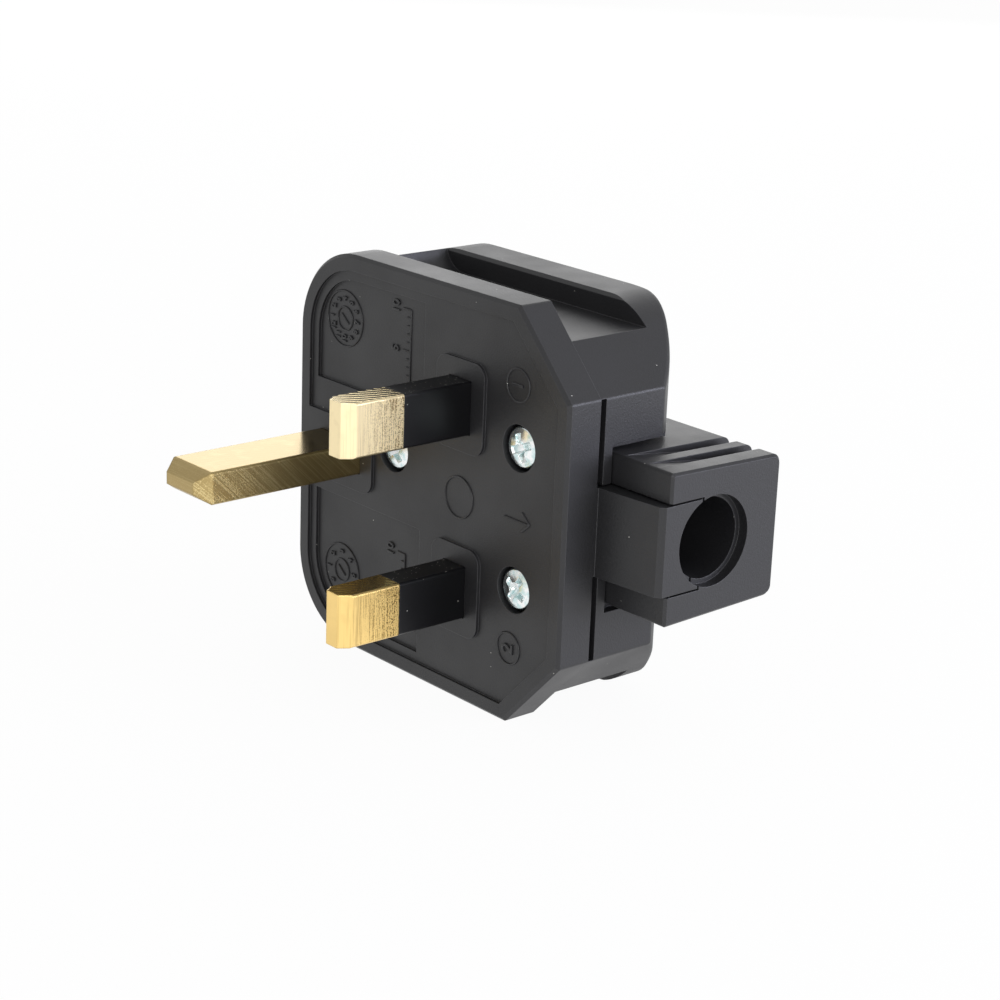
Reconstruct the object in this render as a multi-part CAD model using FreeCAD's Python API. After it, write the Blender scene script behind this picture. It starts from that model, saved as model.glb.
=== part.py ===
import FreeCAD, Part
import math
import os

# British 13 A three-pin plug, in millimetres.
# X runs from the earth pin to the cord outlet, Y from the pin face to the back, Z across the two live pins.
# The origin lies on the engagement face, midway between the two live pins. The pins point to -Y.

# Pins
pin_pitch = 22.23
live_pin_width = 6.35
live_pin_thickness = 3.97
live_pin_length = 17.7
live_tip_bevel = 1.5
live_tip_inset = 1.0
earth_pin_width = 7.94
earth_pin_thickness = 3.97
earth_pin_length = 23.2
earth_tip_bevel = 1.9
earth_tip_inset = 1.25
pin_edge_bevel = 0.2
sleeve_length = 9.6
sleeve_wall = 0.45
pin_slot_clearance = 0.03

# Outline of the base; the cover follows it, a step inside at the sides and the earth end
plate_half_width = 24.66
earth_reach = 30.55
cord_reach = 18.5
earth_corner_radius = 10.5
shoulder_run = 8.9
shoulder_drop = 9.3
shoulder_edge_radius = 0.5
wall = 2.2

# Base
base_depth = 4.65
base_floor = 2.8
face_edge_bevel = 0.4
face_border = 1.95
field_depth = 0.4
panel_step = 1.2
panel_depth = 0.4
panel_earth_gap_upper = 4.0
panel_earth_gap_lower = 1.7
panel_end = 7.0
pad_margin = 2.25
pad_radius = 1.7

# Cover
cover_step = 1.05
cover_shoulder_radius = 8.0
body_depth = 22.1
back_radius = 0.8
back_slope_start = 4.0
back_end_depth = 14.4
end_slot = 0.8
end_slot_depth = 1.4
recess_depth = 3.85
recess_earth_end = 22.0
recess_scoop_radius = 3.0
lip_depth = 15.8
lip_edge_bevel = 0.4
undercut = 0.3

# Cord grip
outlet_reach = 27.9
outlet_centre_depth = 13.87
mouth_radius = 5.35
mouth_length = 1.3
grip_radius = 4.75
jaw_half_width = 5.2
jaw_root_rise = 0.25
jaw_rise = 1.4
jaw_end_bevel = 0.6
jaw_horn_depth = 11.7
jaw_inner_reach = 6.5
yoke_front_depth = 6.9
yoke_back_rise = 2.08
yoke_half_width = 8.9
yoke_draft = 0.5
yoke_back_radius = 1.2
yoke_front_radius = 0.4
yoke_end_bevel = 0.3
yoke_tail_run = 6.5
yoke_wing_half_width = 12.2
yoke_slot_clearance = 0.23
yoke_clearance = 0.2
horn_clearance = 0.3
opening_depth = 6.7
rebate_width = 0.8
rebate_depth = 1.2
inner_groove_width = 2.0
middle_ridge_width = 1.6
outer_groove_width = 1.9
end_ridge_width = 2.6
groove_depth = 1.5
groove_front_gap = 0.3

# Fasteners
grip_screw_reach = 10.04
grip_screw_offset = 8.4
cover_screw_reach = 12.3
cover_screw_offset = 2.6
screw_head_radius = 2.6
screw_head_height = 2.0
screw_head_recess = 0.3
screw_shank_radius = 1.5
screw_hole_clearance = 0.15
screw_boss_wall = 1.6
boss_below_joint = 0.2
thread_clearance = 0.02
insert_wall = 0.75
grip_insert_length = 5.6
cover_insert_length = 8.0
screw_end_gap = 0.5
washer_thickness = 0.6
washer_half_width = 3.0
post_wall = 1.5

# Terminals
flange_thickness = 1.8
flange_margin = 1.3
pillar_height = 8.2
pillar_half_length = 3.6
pillar_half_width = 3.2
wire_hole_radius = 1.6
wire_hole_height = 3.6
clamp_screw_radius = 1.7
clamp_screw_rise = 2.0
wire_hole_gap = 0.3

# Cartridge fuse and its clips
fuse_length = 25.4
fuse_radius = 3.175
fuse_side_gap = 0.2
cap_length = 5.6
cap_wall = 0.3
tube_bore_radius = 1.8
element_width = 0.5
clip_thickness = 0.5
clip_clearance = 0.03
clip_opening = 3.6
clip_foot_half_width = 1.6
clip_end_margin = 0.4
terminal_gap = 0.8

# Places that follow from the sizes above
cover_half_width = plate_half_width - cover_step
recess_floor = plate_half_width - recess_depth
cavity_half_width = recess_floor - wall
slope_drop = body_depth - back_end_depth
slope_run = cord_reach - back_slope_start
slope_radius = (slope_run ** 2 + slope_drop ** 2) / (2 * slope_drop)
flange_top = base_floor + flange_thickness
pillar_top = flange_top + pillar_height
boss_top = base_depth - boss_below_joint
head_seat = screw_head_recess + screw_head_height
counterbore_radius = screw_head_radius + screw_hole_clearance
shank_hole_radius = screw_shank_radius + screw_hole_clearance
boss_radius = counterbore_radius + screw_boss_wall
clip_inner_radius = fuse_radius + clip_clearance
clip_outer_radius = clip_inner_radius + clip_thickness
fuse_depth = flange_top + clip_outer_radius
fuse_offset = cavity_half_width - fuse_side_gap - clip_outer_radius
earth_flange_half_width = earth_pin_thickness / 2 + flange_margin
line_pillar_half_width = (fuse_offset - clip_outer_radius - earth_flange_half_width) / 2 - terminal_gap
fuse_start = live_pin_thickness / 2 + flange_margin - clip_end_margin
fuse_end = fuse_start - fuse_length
post_front = boss_top + washer_thickness
thread_radius = screw_shank_radius + thread_clearance
insert_half_width = thread_radius + insert_wall
yoke_slot_half_width = jaw_half_width + yoke_slot_clearance
slot_top = jaw_horn_depth + horn_clearance
end_wall_inner = cord_reach - wall
earth_inner = wall + cover_step - earth_reach
yoke_inner_reach = jaw_inner_reach
yoke_wing_reach = end_wall_inner - yoke_clearance
opening_half_width = yoke_half_width + yoke_clearance
far = 2 * (earth_reach + cord_reach)

PLANES = {
    "x": lambda u, v, at: FreeCAD.Vector(at, u, v),
    "y": lambda u, v, at: FreeCAD.Vector(u, at, v),
    "z": lambda u, v, at: FreeCAD.Vector(u, v, at),
}


def box(x, y, z):
    """Block between the two limits given on each axis."""
    size = [high - low for low, high in (x, y, z)]
    return Part.makeBox(*size, FreeCAD.Vector(x[0], y[0], z[0]))


def post(place, half_width, front, back):
    """Square post along Y, centred on a place in X and Z."""
    x, z = place
    return box((x - half_width, x + half_width), (front, back), (z - half_width, z + half_width))


def rod(axis, centre, radius, start, end):
    """Cylinder along an axis; centre holds the two other coordinates in order."""
    base = PLANES[axis](*centre, start)
    direction = PLANES[axis](0, 0, 1)
    return Part.makeCylinder(radius, end - start, base, direction)


def corner_arc(before, corner, after, radius):
    """Ends and middle of the arc that rounds one corner of an outline."""
    to_before = (before - corner).normalize()
    to_after = (after - corner).normalize()
    half_angle = to_before.getAngle(to_after) / 2
    reach = radius / math.tan(half_angle)
    bisector = (to_before + to_after).normalize()
    middle = corner + bisector * (radius / math.sin(half_angle) - radius)
    return corner + to_before * reach, middle, corner + to_after * reach


def prism(axis, corners, start, end):
    """Outline of (u, v, radius) corners, straight between them, carried along an axis."""
    points = [PLANES[axis](u, v, start) for u, v, radius in corners]
    edges = []
    joints = []
    for index, (u, v, radius) in enumerate(corners):
        here = points[index]
        if radius > 0:
            after = points[(index + 1) % len(points)]
            first, middle, last = corner_arc(points[index - 1], here, after, radius)
            edges.append(Part.Arc(first, middle, last).toShape())
            joints.append((first, last))
        else:
            joints.append((here, here))
    for index, (first, last) in enumerate(joints):
        previous_last = joints[index - 1][1]
        if previous_last.distanceToPoint(first) > 1e-6:
            edges.append(Part.LineSegment(previous_last, first).toShape())
    outline = Part.Wire(Part.sortEdges(edges)[0])
    return Part.Face(outline).extrude(PLANES[axis](0, 0, end - start))


def rectangle(centre_u, centre_v, width, height, radius):
    """Corners of a rounded rectangle about its centre."""
    left, right = centre_u - width / 2, centre_u + width / 2
    low, high = centre_v - height / 2, centre_v + height / 2
    return [(left, low, radius), (right, low, radius), (right, high, radius), (left, high, radius)]


def pin_section(centre_u, centre_v, width, height):
    """Corners of a pin's section: a rectangle with its four edges taken off."""
    corners = []
    for u_side, v_side in ((-1, -1), (1, -1), (1, 1), (-1, 1)):
        flat_u = (centre_u + u_side * (width / 2 - pin_edge_bevel), centre_v + v_side * height / 2, 0)
        flat_v = (centre_u + u_side * width / 2, centre_v + v_side * (height / 2 - pin_edge_bevel), 0)
        corners += [flat_v, flat_u] if u_side == v_side else [flat_u, flat_v]
    return corners


def mirrored(shape):
    """The same shape on the other side of the plug's middle plane."""
    return shape.mirror(FreeCAD.Vector(0, 0, 0), FreeCAD.Vector(0, 0, 1))


def edges_at(shape, test):
    """Edges whose every sampled point passes the test."""
    chosen = []
    for edge in shape.Edges:
        if all(test(point) for point in edge.discretize(5)):
            chosen.append(edge)
    return chosen


def plate_corners(inset=0.0, step=0.0, side_radius=shoulder_edge_radius):
    """Six corners of the outline in X and Z, moved in by inset, and by step too at sides and earth end."""
    slant = math.hypot(shoulder_run, shoulder_drop)
    side_inset = inset + step
    half = plate_half_width - side_inset
    earth = side_inset - earth_reach
    cord = cord_reach - inset
    shoulder = cord_reach - shoulder_run + (shoulder_run * side_inset - slant * inset) / shoulder_drop
    end = plate_half_width - shoulder_drop + (shoulder_drop - slant) * inset / shoulder_run
    round_corner = earth_corner_radius - side_inset
    side_edge = max(side_radius - inset, 0)
    end_edge = max(shoulder_edge_radius - inset, 0)
    return [
        (earth, -half, round_corner),
        (shoulder, -half, side_edge),
        (cord, -end, end_edge),
        (cord, end, end_edge),
        (shoulder, half, side_edge),
        (earth, half, round_corner),
    ]


def cover_corners(inset=0.0):
    """Corners of the cover's outline, with a larger radius where the sides turn into the shoulders."""
    return plate_corners(inset, cover_step, cover_shoulder_radius)


def screw_places():
    """X and Z of the two cord-grip screws."""
    return [(grip_screw_reach, grip_screw_offset), (grip_screw_reach, -grip_screw_offset)]


def cover_screw_place():
    return (-cover_screw_reach, cover_screw_offset)


def pin_pads():
    """Raised lands round the three pins, flush with the border of the face."""
    width = live_pin_thickness + 2 * pad_margin
    height = live_pin_width + 2 * pad_margin
    pads = [
        prism("y", rectangle(0, side * pin_pitch / 2, width, height, pad_radius), 0, field_depth)
        for side in (1, -1)
    ]
    earth_end = -pin_pitch + earth_pin_width / 2 + pad_margin
    earth_half = earth_pin_thickness / 2 + pad_margin
    earth_corners = [
        (-earth_reach, -earth_half, 0),
        (earth_end, -earth_half, pad_radius),
        (earth_end, earth_half, pad_radius),
        (-earth_reach, earth_half, 0),
    ]
    pads.append(prism("y", earth_corners, 0, field_depth))
    return pads


def face_relief():
    """What is sunk into the pin face: the field inside the border and two deeper panels at the earth end."""
    field = prism("y", plate_corners(face_border), 0, field_depth)
    for pad in pin_pads():
        field = field.cut(pad)
    panel_floor = field_depth + panel_depth
    panel_area = prism("y", plate_corners(face_border + panel_step), 0, panel_floor)
    earth_half = earth_pin_thickness / 2 + pad_margin
    upper = (earth_half + panel_earth_gap_upper, far)
    lower = (-far, -earth_half - panel_earth_gap_lower)
    for limits in (upper, lower):
        panel = panel_area.common(box((-far, -panel_end), (0, panel_floor), limits))
        for pad in pin_pads():
            panel = panel.cut(pad)
        field = field.fuse(panel)
    return field


def jaw():
    """Fixed jaw of the cord grip: a tongue that leaves the base with its outer face rising."""
    jaw_end_front = base_depth + jaw_root_rise + jaw_rise
    side = [
        (jaw_inner_reach, base_floor, 0),
        (cord_reach, base_floor, 0),
        (cord_reach, base_depth + jaw_root_rise, 0),
        (outlet_reach - jaw_end_bevel, jaw_end_front - jaw_end_bevel, 0),
        (outlet_reach, jaw_end_front, 0),
        (outlet_reach, jaw_horn_depth, 0),
        (jaw_inner_reach, jaw_horn_depth, 0),
    ]
    tongue = prism("z", side, -jaw_half_width, jaw_half_width)
    return tongue.cut(cord_path())


def cord_path():
    """Space for the cord: the grip bore and its wider mouth."""
    centre = (outlet_centre_depth, 0)
    bore = rod("x", centre, grip_radius, 0, outlet_reach)
    mouth = rod("x", centre, mouth_radius, outlet_reach - mouth_length, outlet_reach + wall)
    return bore.fuse(mouth)


def pin_slots():
    """Openings in the base that the earth pin and the two sleeved pins pass through."""
    extra = 2 * pin_slot_clearance
    earth = rectangle(-pin_pitch, 0, earth_pin_width + extra, earth_pin_thickness + extra, 0)
    slots = [prism("y", earth, 0, base_depth)]
    for side in (1, -1):
        centre = side * pin_pitch / 2
        live = rectangle(0, centre, live_pin_thickness + extra, live_pin_width + extra, 0)
        slots.append(prism("y", live, 0, base_depth))
    return slots


def make_base():
    """Front moulding: stepped pin face, edge band, screw bosses and the fixed jaw."""
    plate = prism("y", plate_corners(), 0, base_depth)
    face_edges = edges_at(plate, lambda point: abs(point.y) < 1e-6)
    plate = plate.makeChamfer(face_edge_bevel, face_edges)
    body = plate.cut(face_relief())
    hollow = prism("y", plate_corners(wall), base_floor, base_depth)
    inside = box((-far, far), (base_floor, base_depth), (-cavity_half_width, cavity_half_width))
    body = body.cut(hollow.common(inside))
    for place in screw_places() + [cover_screw_place()]:
        body = body.fuse(rod("y", place, boss_radius, base_floor, boss_top))
    body = body.fuse(jaw())
    for place in screw_places() + [cover_screw_place()]:
        body = body.cut(rod("y", place, counterbore_radius, 0, head_seat))
        body = body.cut(rod("y", place, shank_hole_radius, head_seat, boss_top))
    for slot in pin_slots():
        body = body.cut(slot)
    return body.removeSplitter()


def slope_depth(x, inset=0.0):
    """Depth of the curved back, or of a surface inset from it, at a distance along X."""
    run = x - back_slope_start
    return body_depth - slope_radius + math.sqrt((slope_radius - inset) ** 2 - run ** 2)


def back_depth(x):
    """Depth of the back at a distance along X: flat, then curved."""
    return slope_depth(max(x, back_slope_start))


def slope_waste(inset=0.0):
    """What the curved back leaves off towards the cord end."""
    centre = (back_slope_start, body_depth - slope_radius)
    block = box((back_slope_start, far), (0, body_depth), (-plate_half_width, plate_half_width))
    round_back = rod("z", centre, slope_radius - inset, -plate_half_width, plate_half_width)
    return block.cut(round_back)


def loaf():
    """Block on the cover's outline with a curved back, rounded all along the back's edge."""
    block = prism("y", cover_corners(), base_depth, body_depth).cut(slope_waste())

    def on_back_edge(point):
        return abs(point.y - back_depth(point.x)) < 1e-4

    return block.makeFillet(back_radius, edges_at(block, on_back_edge))


def finger_recess():
    """Recess in one side: its rear wall leans in under the rim, and its floor sweeps up at the earth end."""
    lean = undercut / (cover_half_width - recess_floor)
    across = [
        (base_depth - wall, recess_floor, 0),
        (lip_depth + undercut, recess_floor, 0),
        (lip_depth + lean * lip_edge_bevel, cover_half_width - lip_edge_bevel, 0),
        (lip_depth + lip_edge_bevel, cover_half_width, 0),
        (base_depth - wall, cover_half_width, 0),
    ]
    along = [
        (-recess_earth_end, recess_floor, recess_scoop_radius),
        (far, recess_floor, 0),
        (far, plate_half_width, 0),
        (-recess_earth_end, plate_half_width, 0),
    ]
    section = prism("x", across, -earth_reach, far)
    return section.common(prism("y", along, 0, body_depth))


def cover_outside():
    """Outer form of the cover, with its shoulder edges rounded and the finger recesses cut in."""
    return loaf().cut(finger_recess()).cut(mirrored(finger_recess()))


def cover_cavity():
    """Hollow of the cover, a wall's thickness inside its outer form, with a pocket in each earth corner."""
    side = [
        (earth_inner, base_depth, 0),
        (end_wall_inner, base_depth, 0),
        (end_wall_inner, body_depth - wall, 0),
        (earth_inner, body_depth - wall, 0),
    ]
    hollow = prism("z", side, -cavity_half_width, cavity_half_width).cut(slope_waste(wall))
    hollow = hollow.common(prism("y", cover_corners(wall), base_depth, body_depth))
    pockets = prism("y", cover_corners(wall), base_depth, body_depth - wall)
    pockets = pockets.common(box((-earth_reach, -recess_earth_end - wall), (0, body_depth), (-far, far)))
    return hollow.fuse(pockets)


def make_cover():
    """Rear moulding: hollow shell with finger recesses, hooked rim, curved back and the yoke's opening."""
    body = cover_outside().cut(cover_cavity())
    place = cover_screw_place()
    body = body.fuse(post(place, insert_half_width + post_wall, post_front, body_depth - wall))
    body = body.cut(post(place, insert_half_width, post_front, post_front + cover_insert_length))
    body = body.cut(yoke_opening())
    return body.removeSplitter()


def yoke_opening():
    """Way out for cord grip and jaw, with the rebate round it and the slot along the end wall's joint."""
    inner = yoke_inner_reach - yoke_clearance
    beyond = cord_reach + wall
    half = opening_half_width
    through = box((inner, beyond), (opening_depth, far), (-half, half))
    jaw_half = yoke_slot_half_width
    jaw_way = box((inner, beyond), (base_depth, opening_depth), (-jaw_half, jaw_half))
    rebate_half = half + rebate_width
    rebate = box((cord_reach - rebate_depth, beyond), (opening_depth, far), (-rebate_half, rebate_half))
    end_half = plate_half_width - shoulder_drop
    slot_start = cord_reach - end_slot_depth
    slot = box((slot_start, beyond), (base_depth, base_depth + end_slot), (-end_half, end_half))
    return through.fuse(jaw_way).fuse(rebate).fuse(slot)


def yoke_back_depth():
    """Depth of the yoke's back, which stands up over the cover's back."""
    return slope_depth(yoke_inner_reach) + yoke_back_rise


def make_yoke():
    """Cord-grip yoke: a C open to the jaw, with wings for the inserts and finger ridges at its outer end."""
    back = yoke_back_depth()
    back_half = yoke_half_width - yoke_draft
    section = [
        (yoke_front_depth, -yoke_half_width, yoke_front_radius),
        (back, -back_half, yoke_back_radius),
        (back, back_half, yoke_back_radius),
        (yoke_front_depth, yoke_half_width, yoke_front_radius),
    ]
    body = prism("x", section, yoke_inner_reach, outlet_reach)
    end_edges = edges_at(body, lambda point: point.x > outlet_reach - 1e-6)
    body = body.makeChamfer(yoke_end_bevel, end_edges)
    body = body.cut(tail_waste())
    for groove in ridge_grooves():
        body = body.cut(groove).cut(mirrored(groove))
    wing_depth = slope_depth(yoke_wing_reach, wall) - yoke_clearance
    wing_half = yoke_wing_half_width
    wings = box((yoke_inner_reach, yoke_wing_reach), (yoke_front_depth, wing_depth), (-wing_half, wing_half))
    body = body.fuse(wings)
    length = (yoke_inner_reach, outlet_reach)
    body = body.cut(box(length, (yoke_front_depth, slot_top), (-yoke_slot_half_width, yoke_slot_half_width)))
    body = body.cut(cord_path())
    for place in screw_places():
        insert_end = yoke_front_depth + grip_insert_length
        body = body.cut(post(place, insert_half_width, yoke_front_depth, insert_end))
    return body.removeSplitter()


def tail_waste():
    """What the round tail leaves off the yoke's inner back edge, which ends flush with the cover's back."""
    back = yoke_back_depth()
    radius = (yoke_tail_run ** 2 + yoke_back_rise ** 2) / (2 * yoke_back_rise)
    start = yoke_inner_reach + yoke_tail_run
    half = yoke_half_width
    block = box((yoke_inner_reach, start), (back - yoke_back_rise, back), (-half, half))
    return block.cut(rod("z", (start, back - radius), radius, -half, half))


def ridge_grooves():
    """Two grooves across the yoke's outer end, running out at the front and deepest at the back."""
    front = yoke_front_depth + groove_front_gap
    back = yoke_back_depth()
    top = yoke_half_width
    side = [(front, top, 0), (back, top - yoke_draft - groove_depth, 0), (back, top, 0)]
    outer_end = outlet_reach - end_ridge_width
    outer_start = outer_end - outer_groove_width
    inner_end = outer_start - middle_ridge_width
    inner_start = inner_end - inner_groove_width
    return [prism("x", side, inner_start, inner_end), prism("x", side, outer_start, outer_end)]


def grip_screw(place, shank_end):
    """Screw with a round head sunk in the pin face and its shank going in to +Y."""
    head = rod("y", place, screw_head_radius, screw_head_recess, head_seat)
    shank = rod("y", place, screw_shank_radius, head_seat, shank_end)
    return head.fuse(shank).removeSplitter()


def threaded_insert(place, front, length):
    """Square brass insert with a thread for a screw along Y."""
    block = post(place, insert_half_width, front, front + length)
    return block.cut(rod("y", place, thread_radius, front, front + length))


def make_grip_screws():
    end = yoke_front_depth + grip_insert_length - screw_end_gap
    return [grip_screw(place, end) for place in screw_places()]


def make_grip_inserts():
    return [threaded_insert(place, yoke_front_depth, grip_insert_length) for place in screw_places()]


def make_cover_screw():
    return grip_screw(cover_screw_place(), post_front + cover_insert_length - screw_end_gap)


def make_cover_insert():
    return threaded_insert(cover_screw_place(), post_front, cover_insert_length)


def make_washer():
    """Square fibre washer between the base's boss and the cover's post."""
    place = cover_screw_place()
    plate = post(place, washer_half_width, boss_top, post_front)
    return plate.cut(rod("y", place, thread_radius, boss_top, post_front))


def live_blade(side):
    """Brass blade of a live pin: full section at the tip, thinner inside the sleeve."""
    centre = side * pin_pitch / 2
    full = pin_section(0, centre, live_pin_thickness, live_pin_width)
    tip = prism("y", full, -live_pin_length, -sleeve_length)
    half = live_pin_thickness / 2
    flat = half - live_tip_inset
    bevels = [
        (-half, -sleeve_length, 0),
        (half, -sleeve_length, 0),
        (half, live_tip_bevel - live_pin_length, 0),
        (flat, -live_pin_length, 0),
        (-flat, -live_pin_length, 0),
        (-half, live_tip_bevel - live_pin_length, 0),
    ]
    tip = tip.common(prism("z", bevels, centre - live_pin_width, centre + live_pin_width))
    return tip.fuse(prism("y", sleeve_core(centre), -sleeve_length, base_floor))


def sleeve_core(centre):
    """Section of the blade inside its sleeve."""
    thickness = live_pin_thickness - 2 * sleeve_wall
    width = live_pin_width - 2 * sleeve_wall
    return rectangle(0, centre, thickness, width, 0)


def make_sleeve(side):
    """Insulating sleeve, flush with the blade beyond it."""
    centre = side * pin_pitch / 2
    full = pin_section(0, centre, live_pin_thickness, live_pin_width)
    tube = prism("y", full, -sleeve_length, base_floor)
    return tube.cut(prism("y", sleeve_core(centre), -sleeve_length, base_floor))


def terminal_pillar(x, z, half_width):
    """Pillar with a wire hole along X and a clamp screw's hole from the back."""
    start, end = x - pillar_half_length, x + pillar_half_length
    block = box((start, end), (flange_top, pillar_top), (z - half_width, z + half_width))
    wire_depth = flange_top + wire_hole_height
    block = block.cut(rod("x", (wire_depth, z), wire_hole_radius, start, end))
    return block.cut(rod("y", (x, z), clamp_screw_radius + thread_clearance, wire_depth, pillar_top))


def make_earth_pin():
    """Earth pin: long blade with a bevelled tip, a flange on the base's floor and a terminal pillar."""
    tip_start = earth_tip_bevel - earth_pin_length
    section = pin_section(-pin_pitch, 0, earth_pin_width, earth_pin_thickness)
    blade = prism("y", section, -earth_pin_length, base_floor)
    half_x = earth_pin_width / 2
    half_z = earth_pin_thickness / 2
    point = Part.makeWedge(
        -pin_pitch - half_x + earth_tip_inset, -earth_pin_length, -half_z + earth_tip_inset,
        -half_z, -pin_pitch - half_x,
        -pin_pitch + half_x - earth_tip_inset, tip_start, half_z - earth_tip_inset,
        half_z, -pin_pitch + half_x,
    )
    shank = box((-pin_pitch - half_x, -pin_pitch + half_x), (tip_start, base_floor), (-half_z, half_z))
    blade = blade.common(point.fuse(shank))
    flange = box(
        (-pin_pitch - half_x - flange_margin, -pin_pitch + half_x + flange_margin),
        (base_floor, flange_top),
        (-earth_flange_half_width, earth_flange_half_width),
    )
    pillar = terminal_pillar(*earth_terminal(), pillar_half_width)
    return blade.fuse(flange).fuse(pillar).removeSplitter()


def earth_terminal():
    return (-pin_pitch, 0)


def neutral_terminal():
    return (0, pin_pitch / 2)


def line_terminal():
    """The line terminal stands between the fuse and the earth terminal, at the far end of the fuse."""
    across = clip_outer_radius + terminal_gap + line_pillar_half_width
    return (fuse_end + pillar_half_length, across - fuse_offset)


def make_neutral_pin():
    """Neutral pin: sleeved blade, flange and terminal pillar."""
    half_x = pillar_half_length + flange_margin / 2
    half_z = live_pin_width / 2 + flange_margin
    centre = pin_pitch / 2
    flange = box((-half_x, half_x), (base_floor, flange_top), (centre - half_z, centre + half_z))
    pillar = terminal_pillar(*neutral_terminal(), pillar_half_width)
    return live_blade(1).fuse(flange).fuse(pillar).removeSplitter()


def make_line_pin():
    """Line pin: sleeved blade whose flange reaches out to carry the fuse clip."""
    reach = live_pin_thickness / 2 + flange_margin
    inner = pin_pitch / 2 - live_pin_width / 2 - flange_margin
    outer = fuse_offset + clip_foot_half_width + flange_margin
    flange = box((reach - cap_length, reach), (base_floor, flange_top), (-outer, -inner))
    return live_blade(-1).fuse(flange).removeSplitter()


def make_line_terminal():
    """Terminal block at the far end of the fuse: a foot under the clip and a pillar beside it."""
    x, z = line_terminal()
    outer = fuse_offset + clip_foot_half_width + flange_margin
    inner = z + line_pillar_half_width
    foot = box((x - pillar_half_length, x + pillar_half_length), (base_floor, flange_top), (-outer, inner))
    return foot.fuse(terminal_pillar(x, z, line_pillar_half_width)).removeSplitter()


def make_terminal_screws():
    """Three headless clamp screws, standing a little above their pillars."""
    point = flange_top + wire_hole_height + wire_hole_radius + wire_hole_gap
    top = pillar_top + clamp_screw_rise
    places = (earth_terminal(), neutral_terminal(), line_terminal())
    return [rod("y", place, clamp_screw_radius, point, top) for place in places]


def make_fuse_tube():
    """Ceramic tube of the fuse, reaching into both caps."""
    centre = (fuse_depth, -fuse_offset)
    tube = rod("x", centre, fuse_radius - cap_wall, fuse_end + cap_wall, fuse_start - cap_wall)
    return tube.cut(rod("x", centre, tube_bore_radius, fuse_end, fuse_start))


def make_fuse_caps():
    """Drawn end caps of the fuse, each a cup over the tube's end."""
    centre = (fuse_depth, -fuse_offset)
    inside = rod("x", centre, fuse_radius - cap_wall, fuse_end + cap_wall, fuse_start - cap_wall)
    caps = []
    for start in (fuse_end, fuse_start - cap_length):
        caps.append(rod("x", centre, fuse_radius, start, start + cap_length).cut(inside))
    return caps


def make_fuse_element():
    """Fuse strip from cap to cap along the tube's axis."""
    half = element_width / 2
    length = (fuse_end + cap_wall, fuse_start - cap_wall)
    return box(length, (fuse_depth - half, fuse_depth + half), (-fuse_offset - half, -fuse_offset + half))


def make_fuse_clip(start):
    """Spring clip, open at the back: most of a ring round the cap, on a flat foot."""
    centre = (fuse_depth, -fuse_offset)
    end = start + cap_length - 2 * clip_end_margin
    ring = rod("x", centre, clip_outer_radius, start, end)
    foot_low, foot_high = -fuse_offset - clip_foot_half_width, -fuse_offset + clip_foot_half_width
    foot = box((start, end), (flange_top, fuse_depth), (foot_low, foot_high))
    clip = ring.fuse(foot).cut(rod("x", centre, clip_inner_radius, start, end))
    mouth_low, mouth_high = -fuse_offset - clip_opening / 2, -fuse_offset + clip_opening / 2
    mouth = box((start, end), (fuse_depth, far), (mouth_low, mouth_high))
    return clip.cut(mouth).removeSplitter()


def make_line_pin_clip():
    return make_fuse_clip(fuse_start - cap_length + clip_end_margin)


def make_line_terminal_clip():
    return make_fuse_clip(fuse_end + clip_end_margin)


def save(name, shapes):
    """Write one sub-part as a STEP file, a single solid or a group of like solids."""
    solids = [solid for shape in shapes for solid in shape.Solids]
    shape = solids[0] if len(solids) == 1 else Part.makeCompound(solids)
    shape.exportStep("parts/" + name + ".step")


def main():
    os.makedirs("parts", exist_ok=True)
    save("base", [make_base()])
    save("cover", [make_cover()])
    save("cord_grip_yoke", [make_yoke()])
    save("earth_pin", [make_earth_pin()])
    save("neutral_pin", [make_neutral_pin()])
    save("line_pin", [make_line_pin()])
    save("neutral_pin_sleeve", [make_sleeve(1)])
    save("line_pin_sleeve", [make_sleeve(-1)])
    save("line_terminal", [make_line_terminal()])
    save("terminal_screws", make_terminal_screws())
    save("fuse_tube", [make_fuse_tube()])
    save("fuse_caps", make_fuse_caps())
    save("fuse_element", [make_fuse_element()])
    save("line_pin_fuse_clip", [make_line_pin_clip()])
    save("line_terminal_fuse_clip", [make_line_terminal_clip()])
    save("cord_grip_screws", make_grip_screws())
    save("cord_grip_inserts", make_grip_inserts())
    save("cover_screw", [make_cover_screw()])
    save("cover_screw_washer", [make_washer()])
    save("cover_screw_insert", [make_cover_insert()])


main()
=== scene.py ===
import math

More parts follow.
